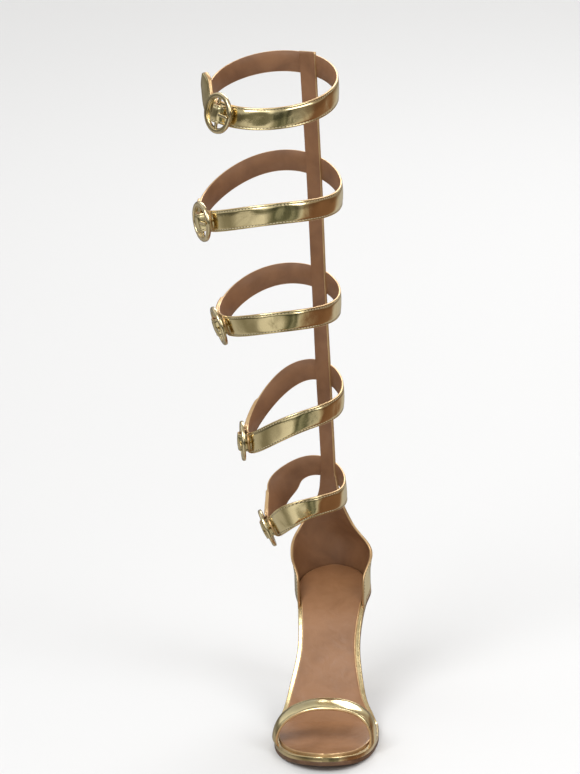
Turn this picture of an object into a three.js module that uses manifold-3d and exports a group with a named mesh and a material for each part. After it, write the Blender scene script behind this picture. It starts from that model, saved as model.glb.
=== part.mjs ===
// Gladiator sandal, the right shoe of the pair, EU 38, with a high slim heel and five buckled leg straps.
// Millimetres, Z up. The toe points to -Y and +X is the inner side of the foot.
// The origin is the middle of the flat tread under the ball, on the floor.
import * as THREE from "three";
import { mergeVertices } from "three/addons/utils/BufferGeometryUtils.js";
import Module from "manifold-3d";

const wasm = await Module();
wasm.setup();

// Driving sizes, in millimetres
const clearance = 0.3; // between pieces that meet
const bond = 0.8; // how deep the straps run into the counter and spine
const tailBond = 1.1; // how deep a free end runs into the strap under it
const treadLength = 45; // flat spot under the ball
const toeReach = 67.5; // from the middle of the tread to the toe tip
const heelReach = 147.5; // from the middle of the tread to the back of the heel seat
const ballWidth = 82;
const seatWidth = 62;
const heelRise = 93; // underside of the sole at the back of the heel seat
const heelShift = -2; // middle of the heel seat, to the outer side
const toeSwing = 5; // toe tip, to the inner side
const toeRound = 70; // length of the round toe outline
const seatRound = 32; // length of the round end of the heel seat
const seatShiftFrom = 0.75; // the heel seat moves to its side between these shares of the length
const seatShiftTo = 0.95;
const outsoleThickness = 3;
const platformThickness = 3.8;
const insoleThickness = 1.8;
const soleBevel = 0.7;
const insoleInset = 3.2; // leaves room for the counter wall on the rim of the platform
const layerGap = 0.4; // between the bent layers of the sole

const heelTipHeight = 7;
const heelTipWidth = 13;
const heelTipLength = 14;
const heelTipPlace = 119.5; // middle of the heel tip behind the middle of the tread
const heelSeatLength = 58;

const shaftHeight = 526; // floor to the top of the back spine
const calfWidth = 106; // of the leg form at the second strap, side to side
const calfDepth = 109; // of the leg form at the second strap, front to back
const spineLean = 0.02; // the back spine leans this much to the outer side for each millimetre up
const spineWidth = 15;
const counterHeight = 64; // above the back of the heel seat
const wall = 2.2; // counter and spine

const strapWidth = 17;
const strapWall = 2;
const tailInset = 0.3; // the free end is this much narrower on each side
const tailPinch = 0.78; // share of its width that is left inside the buckle
const tailLength = 44; // from the bar of the buckle to the tip
const tailTipFrom = 0.85; // the free end narrows over the rest of its length
const tailTipWidth = 0.45; // share of its width that is left at the tip
const tailLift = 0.006; // a bent free end leaves the leg by this much for each square millimetre of its reach

const buckleWidth = 31.5;
const buckleBand = 4;
const buckleThickness = 3;
const buckleBevel = 0.8;
const barWidth = 2.6;
const prongWidth = 3;
const prongEye = 1.1; // wall of the eye round the bar
const prongThickness = 2;
const prongOverhang = 1.2; // prong tip past the middle of the rim

const toeStrapWidth = 15.5;
const toeStrapOverhang = 1; // its widest place stands out over the edge of the sole
const toeStrapHeight = 40; // outside, above the floor
const toeStrapPlace = -20; // middle of the strap, from the middle of the tread
const toeStrapTurn = 4; // its inner end lies nearer to the toe, in degrees
const toeStrapSkew = 4; // its crown lies nearer to the inner side
const toeStrapTilt = 13; // its crown falls towards the toe, in degrees

// Sole line seen from the side: along is a share of the plan length, rise a share of heelRise.
const soleLine = [
  { along: 0, rise: 0.06 },
  { along: 0.1, rise: 0.018 },
  { along: (toeReach - treadLength / 2) / (toeReach + heelReach), rise: 0 },
  { along: (toeReach + treadLength / 2) / (toeReach + heelReach), rise: 0 },
  { along: 0.49, rise: 0.085 },
  { along: 0.56, rise: 0.24 },
  { along: 0.67, rise: 0.55 },
  { along: 0.77, rise: 0.79 },
  { along: 0.87, rise: 0.925 },
  { along: 1, rise: 1 },
];

// Outline of the sole: along is a share of the plan length, the sides are shares of half the ball width.
const soleSides = [
  { along: 0, inner: 1, outer: 0.98 },
  { along: 0.3, inner: 1, outer: 1 },
  { along: 0.42, inner: 0.96, outer: 0.99 },
  { along: 0.56, inner: 0.66, outer: 0.82 },
  { along: 0.68, inner: 0.54, outer: 0.67 },
];

// Outline at the heel seat: the side is a share of half the seat width.
const seatSides = [
  { along: 0.79, side: 0.88 },
  { along: 0.86, side: 1 },
  { along: 1, side: 1 },
];

// Column of the heel: at is a share of heelRise, width of half the seat width.
// Front and back are measured forwards from the back of the seat, as shares of heelSeatLength.
const heelSections = [
  { at: 0.36, width: 0.25, front: 0.53, back: 0.235 },
  { at: 0.6, width: 0.39, front: 0.61, back: 0.18 },
  { at: 0.77, width: 0.63, front: 0.74, back: 0.11 },
  { at: 0.9, width: 0.86, front: 0.89, back: 0.045 },
  { at: 1.06, width: 0.95, front: 1.02, back: 0.025 },
];

// Inside of the counter: at is a share of counterHeight above the back of the seat, width of the seat width,
// depth of the length of its round end, back of the heel's reach. Shift is to the outer side, as a share of
// half the calf width.
const counterSections = [
  { at: 0, width: 0.96, depth: 1.03, back: 0.983, shift: 0 },
  { at: 0.25, width: 1.04, depth: 1.06, back: 0.99, shift: 0 },
  { at: 0.65, width: 0.98, depth: 1.12, back: 0.957, shift: 0.2 },
  { at: 1, width: 1, depth: 1.14, back: 0.928, shift: 0.34 },
];
const seatBlend = 0.5; // the outline of the seat fades out over this share of the counter

// The leg form: at is a share of the shaft's height, width and depth of the calf sizes, back of the
// heel's reach, shift as for the counter.
const legSections = [
  { at: 0.355, width: 0.665, depth: 0.7, back: 0.909, shift: 0.45 },
  { at: 0.49, width: 0.68, depth: 0.73, back: 0.9, shift: 0.45 },
  { at: 0.645, width: 0.87, depth: 0.91, back: 0.932, shift: 0.63 },
  { at: 0.81, width: 1, depth: 1, back: 0.972, shift: 0.69 },
  { at: 0.965, width: 0.89, depth: 0.91, back: 0.943, shift: 0.59 },
  { at: 1, width: 0.87, depth: 0.89, back: 0.933, shift: 0.56 },
];

// Front edge of the counter: at is a share of counterHeight, spread the half angle round the heel in degrees.
const counterEdge = [
  { at: -0.4, spread: 127 },
  { at: 0.02, spread: 122 },
  { at: 0.18, spread: 108 },
  { at: 0.34, spread: 83 },
  { at: 0.52, spread: 56 },
  { at: 0.7, spread: 38 },
  { at: 0.85, spread: 28 },
  { at: 1, spread: 21 },
  { at: 1.3, spread: 14 },
];

// Leg straps from the top down: middle heights as shares of the shaft's height.
// The buckle column is its angle from the front towards the outer side, the tail column the upward bend
// of the free end, both in degrees.
const legStraps = [
  { inner: 0.957, front: 0.934, outer: 0.954, back: 0.984, buckle: 45, tail: 52 },
  { inner: 0.799, front: 0.793, outer: 0.776, back: 0.83, buckle: 61, tail: 0 },
  { inner: 0.634, front: 0.629, outer: 0.614, back: 0.657, buckle: 71, tail: 0 },
  { inner: 0.486, front: 0.463, outer: 0.425, back: 0.504, buckle: 80, tail: 0 },
  { inner: 0.336, front: 0.325, outer: 0.284, back: 0.352, buckle: 80, tail: 0 },
];

// Numbers of facets
const soleRows = 40;
const heelSides = 24;
const loopSides = 52;
const counterColumns = 14;
const counterRows = 13;
const spineRows = 18;
const buckleSides = 30;
const barSides = 8;
const eyeSides = 12;
const toeStrapSides = 30;
const tailSteps = 9; // in the free end behind the buckle
const seatSamples = { along: 30, across: 4 }; // places looked at under a buckle

// Plain helpers
const radians = THREE.MathUtils.degToRad;
const mix = THREE.MathUtils.lerp;
const point = (x, y, z) => new THREE.Vector3(x, y, z);
const steps = (count) => Array.from({ length: count + 1 }, (_, i) => i / count);

// A smooth curve through rows of places and values that never overshoots them.
function curveThrough(places, values) {
  const last = places.length - 1;
  const rises = places.slice(1).map((p, i) => (values[i + 1] - values[i]) / (p - places[i]));
  const slopes = places.map((_, i) => {
    if (i === 0) return rises[0];
    if (i === last) return rises[last - 1];
    const before = rises[i - 1];
    const after = rises[i];
    return before * after <= 0 ? 0 : (2 * before * after) / (before + after);
  });
  return (place) => {
    if (place <= places[0]) return values[0] + slopes[0] * (place - places[0]);
    if (place >= places[last]) return values[last] + slopes[last] * (place - places[last]);
    const i = places.findIndex((p) => place < p) - 1;
    const run = places[i + 1] - places[i];
    const t = (place - places[i]) / run;
    const ease = t * t * (3 - 2 * t);
    return (
      mix(values[i], values[i + 1], ease) +
      run * t * (1 - t) * ((1 - t) * slopes[i] - t * slopes[i + 1])
    );
  };
}

// A closed solid from points and triangles, turned to face outwards.
function solidOf(points, triangles) {
  let volume = 0;
  for (const [a, b, c] of triangles) {
    volume += points[a].dot(points[b].clone().cross(points[c]));
  }
  const facing = volume < 0 ? triangles.map(([a, b, c]) => [a, c, b]) : triangles;
  return new wasm.Manifold(
    new wasm.Mesh({
      numProp: 3,
      vertProperties: new Float32Array(points.flatMap((p) => p.toArray())),
      triVerts: new Uint32Array(facing.flat()),
    }),
  );
}

// Two triangles for four corners in turn, split along the shorter diagonal, which keeps a twisted face flat.
function splitFace(points, a, b, c, d) {
  const short = points[a].distanceTo(points[c]) <= points[b].distanceTo(points[d]);
  return short ? [[a, b, c], [a, c, d]] : [[a, b, d], [b, c, d]];
}

// Rings with the same number of points joined in turn: a bar with two flat ends, or a closed hoop.
function joinRings(rings, hoop = false) {
  const points = rings.flat();
  const around = rings[0].length;
  const spans = hoop ? rings.length : rings.length - 1;
  const triangles = [];
  for (let r = 0; r < spans; r += 1) {
    const here = r * around;
    const next = ((r + 1) % rings.length) * around;
    for (let i = 0; i < around; i += 1) {
      const j = (i + 1) % around;
      triangles.push(...splitFace(points, here + i, here + j, next + j, next + i));
    }
  }
  if (!hoop) {
    const end = (rings.length - 1) * around;
    for (let i = 1; i < around - 1; i += 1) {
      triangles.push([0, i + 1, i], [end, end + i, end + i + 1]);
    }
  }
  return solidOf(points, triangles);
}

// A wall between two grids of points, one outside and one inside.
function joinSheets(outside, inside) {
  const rows = outside.length;
  const columns = outside[0].length;
  const points = [...outside.flat(), ...inside.flat()];
  const out = (r, c) => r * columns + c;
  const into = (r, c) => rows * columns + out(r, c);
  const triangles = [];
  const quad = (...corners) => triangles.push(...splitFace(points, ...corners));
  for (let r = 0; r < rows - 1; r += 1) {
    for (let c = 0; c < columns - 1; c += 1) {
      quad(out(r, c), out(r, c + 1), out(r + 1, c + 1), out(r + 1, c));
      quad(into(r, c), into(r + 1, c), into(r + 1, c + 1), into(r, c + 1));
    }
    quad(out(r, 0), out(r + 1, 0), into(r + 1, 0), into(r, 0));
    quad(out(r + 1, columns - 1), out(r, columns - 1), into(r, columns - 1), into(r + 1, columns - 1));
  }
  for (let c = 0; c < columns - 1; c += 1) {
    quad(out(0, c + 1), out(0, c), into(0, c), into(0, c + 1));
    quad(out(rows - 1, c), out(rows - 1, c + 1), into(rows - 1, c + 1), into(rows - 1, c));
  }
  return solidOf(points, triangles);
}

// The sole
const planLength = toeReach + heelReach;
const halfBall = ballWidth / 2;
const halfSeat = seatWidth / 2;
const soleStack = outsoleThickness + platformThickness;
const sideNarrow = 12; // a half width under which an inset fades out

const sideRows = (side, sign) => [
  ...soleSides.map((row) => [row.along, row[side] * halfBall]),
  ...seatSides.map((row) => [row.along, row.side * halfSeat + sign * heelShift]),
];
const sideCurve = (rows) => curveThrough(rows.map((row) => row[0]), rows.map((row) => row[1]));
const innerSide = sideCurve(sideRows("inner", 1));
const outerSide = sideCurve(sideRows("outer", -1));
const soleRise = curveThrough(
  soleLine.map((row) => row.along * planLength - toeReach),
  soleLine.map((row) => row.rise * heelRise),
);

// Share of the full width that is left by the round toe and the round heel seat.
function endRound(along) {
  const toToe = Math.max(0, 1 - (along * planLength) / toeRound);
  const toHeel = Math.max(0, 1 - ((1 - along) * planLength) / seatRound);
  return Math.sqrt(Math.max(0, 1 - toToe ** 2)) * Math.sqrt(Math.max(0, 1 - toHeel ** 2));
}

// Both edges of the sole at a share of its length, inset from the full outline.
function soleEdges(along, inset) {
  const round = endRound(along);
  const middle = toeSwing * Math.max(0, 1 - (along * planLength) / toeReach) ** 2;
  const seated = THREE.MathUtils.smoothstep(along, seatShiftFrom, seatShiftTo) * heelShift;
  const edge = (full) => {
    const half = full * round;
    return half - inset * Math.min(1, half / sideNarrow);
  };
  const inner = edge(innerSide(along) - seated);
  const outer = edge(outerSide(along) + seated);
  return { inner: middle + seated + inner, outer: middle + seated - outer };
}

// A point over the sole line, measured square to it.
function overSole(x, y, height) {
  const nudge = 0.5;
  const slope = (soleRise(y + nudge) - soleRise(y - nudge)) / (2 * nudge);
  const length = Math.hypot(1, slope);
  return point(x, y - (height * slope) / length, soleRise(y) + height / length);
}

// One layer of the sole between two heights over its underside.
function soleLayer(bottom, top, inset) {
  const tip = 0.002;
  const rings = steps(soleRows).map((t) => {
    const along = mix(tip, 1 - tip, (1 - Math.cos(Math.PI * t)) / 2);
    const y = mix(inset - toeReach, heelReach - inset, along);
    const { inner, outer } = soleEdges(along, inset);
    const bevel = Math.min(soleBevel, (inner - outer) / 4);
    return [
      overSole(outer + bevel, y, bottom),
      overSole(inner - bevel, y, bottom),
      overSole(inner, y, bottom + soleBevel),
      overSole(inner, y, top),
      overSole(outer, y, top),
      overSole(outer, y, bottom + soleBevel),
    ];
  });
  return joinRings(rings);
}

// A block under or over a height of the sole, wider and longer than the sole, for cutting.
function soleBlock(from, to) {
  const beyond = 20;
  const half = ballWidth;
  const rings = steps(soleRows).map((t) => {
    const y = mix(0, heelReach + beyond, t);
    return [
      overSole(-half, y, from),
      overSole(half, y, from),
      overSole(half, y, to),
      overSole(-half, y, to),
    ];
  });
  return joinRings(rings);
}

const outsole = soleLayer(0, outsoleThickness, 0);
const platform = soleLayer(outsoleThickness + layerGap, soleStack, 0);
const insole = soleLayer(soleStack + layerGap, soleStack + layerGap + insoleThickness, insoleInset);

// The heel
const heelBack = curveThrough(
  [heelTipHeight, ...heelSections.map((row) => row.at * heelRise)],
  [heelTipPlace + heelTipLength / 2, ...heelSections.map((row) => heelReach - row.back * heelSeatLength)],
);
const heelFront = curveThrough(
  [heelTipHeight, ...heelSections.map((row) => row.at * heelRise)],
  [heelTipPlace - heelTipLength / 2, ...heelSections.map((row) => heelReach - row.front * heelSeatLength)],
);
const heelHalf = curveThrough(
  [heelTipHeight, ...heelSections.map((row) => row.at * heelRise)],
  [heelTipWidth / 2, ...heelSections.map((row) => row.width * halfSeat)],
);

// A level round section of the heel, with the outline that it has at the height of like.
function heelRing(z, like) {
  const back = heelBack(like);
  const front = heelFront(like);
  const half = heelHalf(like);
  return steps(heelSides).slice(1).map((t) => {
    const turn = t * 2 * Math.PI;
    return point(
      heelShift + half * Math.sin(turn),
      (front + back) / 2 + ((back - front) / 2) * Math.cos(turn),
      z,
    );
  });
}

const heelColumnRows = 14;
const heelTop = heelSections.at(-1).at * heelRise;
const heelBlank = joinRings(
  steps(heelColumnRows).map((t) => {
    const z = mix(heelTipHeight, heelTop, t);
    return heelRing(z, z);
  }),
);
const heel = heelBlank.subtract(soleBlock(-layerGap, heelRise));
const heelTip = joinRings([
  heelRing(0, heelTipHeight),
  heelRing(heelTipHeight - clearance, heelTipHeight),
]);

// The leg form that counter, spine and leg straps lie on
const seatTop = overSole(0, heelReach, soleStack).z;
const formRows = [
  ...counterSections.map((row) => ({
    z: seatTop + row.at * counterHeight,
    width: (row.width * seatWidth) / 2,
    depth: row.depth * seatRound,
    back: row.back * heelReach,
    shift: (row.shift * calfWidth) / 2,
  })),
  ...legSections.map((row) => ({
    z: row.at * shaftHeight,
    width: (row.width * calfWidth) / 2,
    depth: (row.depth * calfDepth) / 2,
    back: row.back * heelReach,
    shift: (row.shift * calfWidth) / 2,
  })),
];
const formCurve = (key) => curveThrough(formRows.map((row) => row.z), formRows.map((row) => row[key]));
const formWidth = formCurve("width");
const formDepth = formCurve("depth");
const formBack = formCurve("back");
const formShift = formCurve("shift");
const formMiddle = (z) => heelShift - Math.max(0, formShift(z));
const spineMiddle = (z) => heelShift - spineLean * Math.max(0, z - seatTop);

// A point on the leg form: turn is 0 at the back and grows towards the inner side, out is away from the leg.
function onLeg(turn, z, out) {
  return point(
    formMiddle(z) + (formWidth(z) + out) * Math.sin(turn),
    formBack(z) + out - (formDepth(z) + out) * (1 - Math.cos(turn)),
    z,
  );
}

// Counter and spine
const counterSpread = curveThrough(
  counterEdge.map((row) => seatTop + row.at * counterHeight),
  counterEdge.map((row) => radians(row.spread)),
);
const counterBottom = seatTop + counterEdge[0].at * counterHeight;
const counterTop = seatTop + counterEdge.at(-1).at * counterHeight;
const backHeights = [
  ...steps(counterRows).map((t) => mix(counterBottom, counterTop, t)),
  ...steps(spineRows).slice(1).map((t) => mix(counterTop, shaftHeight, t)),
];

// A point on the edge of the heel seat, on the same turns, straight on past its round end.
function onSeat(turn, z, out) {
  const quarter = Math.PI / 2;
  const past = Math.max(0, Math.abs(turn) - quarter);
  const round = 1 - Math.cos(Math.min(quarter, Math.abs(turn)));
  const inset = wall - out;
  const reach = overSole(0, heelReach - inset, soleStack).y;
  const y = reach - (seatRound - inset) * (round + past);
  const under = y + (y - overSole(0, y, soleStack).y);
  const along = (under + toeReach - inset) / (planLength - 2 * inset);
  const { inner, outer } = soleEdges(Math.min(1, along), inset);
  return point(turn > 0 ? inner : outer, y, z);
}

function onCounter(turn, z, out) {
  const share = 1 - THREE.MathUtils.smoothstep(z, seatTop, seatTop + seatBlend * counterHeight);
  return onLeg(turn, z, out).lerp(onSeat(turn, z, out), share);
}

function backWall(out) {
  return backHeights.map((z) => {
    const middle = Math.asin((spineMiddle(z) - formMiddle(z)) / formWidth(z));
    const strip = Math.asin(spineWidth / 2 / formWidth(z));
    const half = z < counterTop ? Math.max(strip, counterSpread(z)) : strip;
    return steps(counterColumns).map((t) => onCounter(mix(middle - half, middle + half, t), z, out));
  });
}

const back = joinSheets(backWall(wall), backWall(0)).subtract(
  soleBlock(-heelRise, soleStack + clearance),
);

// Leg straps
const strapInside = wall - bond;
const buckleBore = buckleWidth / 2 - buckleBand;

// Middle height of a strap at a turn round the leg, through its four named heights.
function strapHeight(strap, turn) {
  const { inner, front, outer, back: rear } = strap;
  return (
    shaftHeight *
    ((inner + front + outer + rear) / 4 +
      ((rear - front) / 2) * Math.cos(turn) +
      ((inner - outer) / 2) * Math.sin(turn) +
      ((rear + front - inner - outer) / 4) * Math.cos(2 * turn))
  );
}

// The turn at which the leg form faces the buckle's direction.
function buckleTurn(strap) {
  const facing = radians(strap.buckle);
  const z = strap.outer * shaftHeight;
  return Math.atan2(formWidth(z) * Math.sin(facing), formDepth(z) * Math.cos(facing)) - Math.PI;
}

// A point across a sloping strap at a turn round the leg: up is square to the strap, out from its inside.
function acrossStrap(strap, turn, up, out) {
  const nudge = 0.01;
  const middle = onLeg(turn, strapHeight(strap, turn), strapInside);
  const next = onLeg(turn + nudge, strapHeight(strap, turn + nudge), strapInside);
  const level = Math.hypot(next.x - middle.x, next.y - middle.y);
  const slope = Math.atan2(next.z - middle.z, level);
  const shift = (up * Math.sin(slope) * nudge) / level;
  return onLeg(turn - shift, middle.z + up * Math.cos(slope), strapInside + out);
}

// A point on a strap: along runs from the buckle's bar to the back.
function onStrap(strap, along, up, out) {
  const centre = buckleTurn(strap);
  const nudge = 0.01;
  const ends = [nudge, -nudge].map((turn) => acrossStrap(strap, centre + turn, 0, 0));
  const run = ends[0].distanceTo(ends[1]) / (2 * nudge);
  return acrossStrap(strap, centre + along / run, up, out);
}

// Axes at the buckle: along the strap towards the back, down across it and out of the leg.
function buckleAxes(strap) {
  const reach = buckleBore;
  const along = onStrap(strap, reach, 0, 0).sub(onStrap(strap, -reach, 0, 0)).normalize();
  const rough = onStrap(strap, 0, reach, 0).sub(onStrap(strap, 0, -reach, 0));
  const out = along.clone().cross(rough).normalize();
  const outwards = onStrap(strap, 0, 0, reach).sub(onStrap(strap, 0, 0, 0)).dot(out);
  if (outwards < 0) out.negate();
  return { along, down: out.clone().cross(along), out };
}

// The flat buckle lies on the highest place of the strap's two layers under its rim.
function buckleSeat(strap) {
  const { along, down, out } = buckleAxes(strap);
  const rim = buckleWidth / 2;
  const origin = onStrap(strap, 0, 0, 0);
  let highest = 0;
  for (const run of steps(seatSamples.along)) {
    for (const side of steps(seatSamples.across)) {
      const across = mix(-strapWidth / 2, strapWidth / 2, side);
      const place = onStrap(strap, mix(-rim, rim, run), across, 2 * strapWall).sub(origin);
      const radius = Math.hypot(place.dot(along), place.dot(down));
      if (radius > buckleBore - clearance && radius < rim) highest = Math.max(highest, place.dot(out));
    }
  }
  return highest + clearance;
}
const barHeight = (strap) => buckleSeat(strap) + buckleThickness / 2;

// A level step out of the leg, seen from a buckle that leans: how far it goes out of the buckle's plane
// and up in it.
function levelStep(strap) {
  const { down, out } = buckleAxes(strap);
  const step = onStrap(strap, 0, 0, 1).sub(onStrap(strap, 0, 0, 0));
  return { out: step.dot(out), up: -step.dot(down) };
}

// A hoop right round the leg.
function strapHoop(strap) {
  const rings = steps(loopSides).slice(1).map((t) => {
    const half = strapWidth / 2;
    const at = (up, out) => acrossStrap(strap, t * 2 * Math.PI, up, out);
    return [at(-half, 0), at(half, 0), at(half, strapWall), at(-half, strapWall)];
  });
  return joinRings(rings, true);
}

// Rise of the second layer over the bar: along is in millimetres from the bar, rise a share of the full rise.
const tailRise = [
  { along: -10.5, rise: 0 },
  { along: -8.5, rise: 0.03 },
  { along: -7.2, rise: 0.14 },
  { along: -5.7, rise: 0.5 },
  { along: -4.2, rise: 0.85 },
  { along: -2.6, rise: 1 },
  { along: 0, rise: 1.02 },
  { along: 2.6, rise: 1 },
  { along: 4.2, rise: 0.64 },
  { along: 5.6, rise: 0.27 },
  { along: 7, rise: 0.05 },
  { along: 8.5, rise: 0 },
  { along: 10.5, rise: 0 },
];
const tailStart = tailRise[0].along;
const tailDown = tailRise.at(-1).along;

// The second layer: it leaves the strap before the bar, rises over it and lies down as the free end.
function strapTail(strap) {
  const level = levelStep(strap);
  const over = (barHeight(strap) + barWidth / 2 + 2 * clearance) / level.out;
  const low = strapWall - tailBond;
  const bent = radians(strap.tail);
  const full = strapWidth / 2 - tailInset;
  const stations = tailRise.map(({ along, rise }) => ({
    along,
    up: 0,
    sink: rise * level.up,
    heading: 0,
    inside: mix(along < 0 ? tailBond : low, over, rise),
    half: full * (along > tailStart && along < tailDown ? tailPinch : 1),
  }));
  const step = (tailLength - tailDown) / tailSteps;
  for (const share of steps(tailSteps).slice(1)) {
    const heading = bent * Math.min(1, share * 2);
    const last = stations.at(-1);
    const tip = Math.max(0, (share - tailTipFrom) / (1 - tailTipFrom));
    stations.push({
      along: last.along + step * Math.cos(heading),
      up: last.up + step * Math.sin(heading),
      sink: 0,
      heading,
      inside: low,
      half: full * mix(1, tailTipWidth, tip),
    });
  }
  const rings = stations.map(({ along, up, sink, heading, inside, half }) => {
    const outside = Math.max(inside + strapWall, along < 0 ? 0 : 2 * strapWall);
    const at = (sign, out) => {
      const place = along - sign * half * Math.sin(heading);
      const lift = bent > 0 ? tailLift * Math.max(0, place - tailDown) ** 2 : 0;
      return onStrap(strap, place, up + sign * half * Math.cos(heading) - sink * out, out + lift);
    };
    return [at(-1, inside), at(1, inside), at(1, outside), at(-1, outside)];
  });
  return joinRings(rings);
}

// Puts a solid that was made along, down and out of a buckle in its place on the leg.
function placeAtBuckle(solid, strap, height) {
  const { along, down, out } = buckleAxes(strap);
  const place = onStrap(strap, 0, 0, 0).addScaledVector(out, height);
  const matrix = new THREE.Matrix4().makeBasis(along, down, out).setPosition(place);
  return solid.transform(matrix.toArray());
}

// A bar of any convex section between two heights along its own Z.
function prism(outline, bottom, top) {
  return joinRings([bottom, top].map((z) => outline.map(([x, y]) => point(x, y, z))));
}

function disc(radius, sides) {
  return steps(sides).slice(1).map((t) => {
    const turn = t * 2 * Math.PI;
    return [radius * Math.cos(turn), radius * Math.sin(turn)];
  });
}

// The round frame lies from 0 to its thickness, its bar half way up.
function buckle() {
  const rim = buckleWidth / 2;
  const section = [
    [buckleBore, 0],
    [rim, 0],
    [rim, buckleThickness - buckleBevel],
    [rim - buckleBevel, buckleThickness],
    [buckleBore, buckleThickness],
  ];
  const rings = steps(buckleSides).slice(1).map((t) => {
    const turn = t * 2 * Math.PI;
    return section.map(([r, z]) => point(r * Math.cos(turn), r * Math.sin(turn), z));
  });
  const reach = buckleBore + buckleBand / 2;
  const bar = prism(disc(barWidth / 2, barSides), -reach, reach)
    .rotate([90, 0, 0])
    .translate([0, 0, buckleThickness / 2]);
  return joinRings(rings, true).add(bar);
}

// The prong's eye is centred on the origin and the prong runs over the rim towards the front.
function prong() {
  const bore = barWidth / 2 + clearance;
  const eye = prism(disc(bore + prongEye, eyeSides), -prongWidth / 2, prongWidth / 2).subtract(
    prism(disc(bore, eyeSides), -prongWidth, prongWidth),
  );
  const lift = buckleThickness / 2 + clearance;
  const tip = buckleWidth / 2 - buckleBand / 2 + prongOverhang;
  const blade = prism(
    [
      [0, bore + prongEye / 4],
      [-tip, lift],
      [-tip, lift + prongThickness / 2],
      [-buckleBore, lift + prongThickness],
      [0, lift + prongThickness],
    ],
    -prongWidth / 2,
    prongWidth / 2,
  );
  return eye.add(blade.subtract(prism(disc(bore, eyeSides), -prongWidth, prongWidth))).rotate([90, 0, 0]);
}

// The hole through which the prong comes, in the second layer only.
function prongHole() {
  const bore = barWidth / 2 + clearance;
  const front = -buckleBore + buckleBand / 2;
  const rear = bore + prongEye + clearance;
  const half = prongWidth / 2 + clearance;
  const outline = [
    [front, -half],
    [rear, -half],
    [rear, half],
    [front, half],
  ];
  return prism(outline, -rear, buckleWidth);
}

let upper = back;
for (const strap of legStraps) {
  const tail = strapTail(strap).subtract(placeAtBuckle(prongHole(), strap, barHeight(strap)));
  upper = upper.add(strapHoop(strap)).add(tail);
}

// Toe strap: an arch over the toes whose feet stand on the rim of the platform
function toeStrap() {
  const crown = toeStrapHeight;
  const waist = 0.25; // height of the widest place as a share of the crown
  const undercut = 0.3; // depth of the oval under the widest place as a share of the crown
  const tuck = 38; // how far each foot turns in under the widest place, in degrees
  const square = 0.9; // under 1, the arch is squarer than an ellipse
  const turned = radians(toeStrapTurn);
  const bow = (value) => Math.sign(value) * Math.abs(value) ** square;
  const rings = steps(toeStrapSides).map((t) => {
    const turn = mix(-radians(tuck), Math.PI + radians(tuck), t);
    const high = Math.sin(turn);
    const lean = radians(toeStrapTilt) * Math.max(0, high);
    const at = (side, out) => {
      const across = side * (toeStrapWidth / 2);
      const y = toeStrapPlace - halfBall * Math.cos(turn) * Math.sin(turned) + across * Math.cos(lean);
      const { inner, outer } = soleEdges((y + toeReach) / planLength, 0);
      const half = (inner - outer) / 2 + toeStrapOverhang - out;
      const rise = (high > 0 ? crown * (1 - waist) : crown * undercut) - out;
      return point(
        (inner + outer) / 2 + half * bow(Math.cos(turn)) + toeStrapSkew * Math.max(0, high),
        y,
        crown * waist + rise * bow(high) + across * Math.sin(lean),
      );
    };
    return [at(-1, strapWall), at(1, strapWall), at(1, 0), at(-1, 0)];
  });
  return joinRings(rings);
}

// Cuts the feet of the toe strap off on top of the platform.
function underToe() {
  const rings = steps(soleRows).map((t) => {
    const y = mix(-toeReach, toeReach, t);
    const top = soleStack + clearance;
    return [
      overSole(-ballWidth, y, -heelRise),
      overSole(ballWidth, y, -heelRise),
      overSole(ballWidth, y, top),
      overSole(-ballWidth, y, top),
    ];
  });
  return joinRings(rings);
}

const toeBand = toeStrap().subtract(underToe());

// Colours
const gold = { color: 0xcdb882, metalness: 0.6, roughness: 0.35 };
const goldMetal = { color: 0xd8bf86, metalness: 1, roughness: 0.25 };
const brown = { color: 0x7a4d2e, metalness: 0, roughness: 0.6 };
const tan = { color: 0xb9743f, metalness: 0, roughness: 0.7 };
const rubber = { color: 0x2a2420, metalness: 0, roughness: 0.8 };

const group = new THREE.Group();

function addPiece(name, solid, look) {
  const made = solid.getMesh();
  const geometry = new THREE.BufferGeometry();
  geometry.setAttribute("position", new THREE.BufferAttribute(made.vertProperties, 3));
  geometry.setIndex(new THREE.BufferAttribute(made.triVerts, 1));
  const mesh = new THREE.Mesh(mergeVertices(geometry), new THREE.MeshStandardMaterial(look));
  mesh.name = name;
  group.add(mesh);
}

addPiece("outsole", outsole, brown);
addPiece("platform", platform, gold);
addPiece("insole", insole, tan);
addPiece("heel", heel, gold);
addPiece("heel_tip", heelTip, rubber);
addPiece("toe_strap", toeBand, gold);
addPiece("upper", upper, gold);
legStraps.forEach((strap, i) => {
  addPiece(`buckle_${i + 1}`, placeAtBuckle(buckle(), strap, buckleSeat(strap)), goldMetal);
  addPiece(`prong_${i + 1}`, placeAtBuckle(prong(), strap, barHeight(strap)), goldMetal);
});

export default group;
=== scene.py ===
"""Gladiator sandal: smooth straps, stitching, buckles, counter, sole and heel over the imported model."""
import math

import bpy
from mathutils import Matrix, Vector


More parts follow.
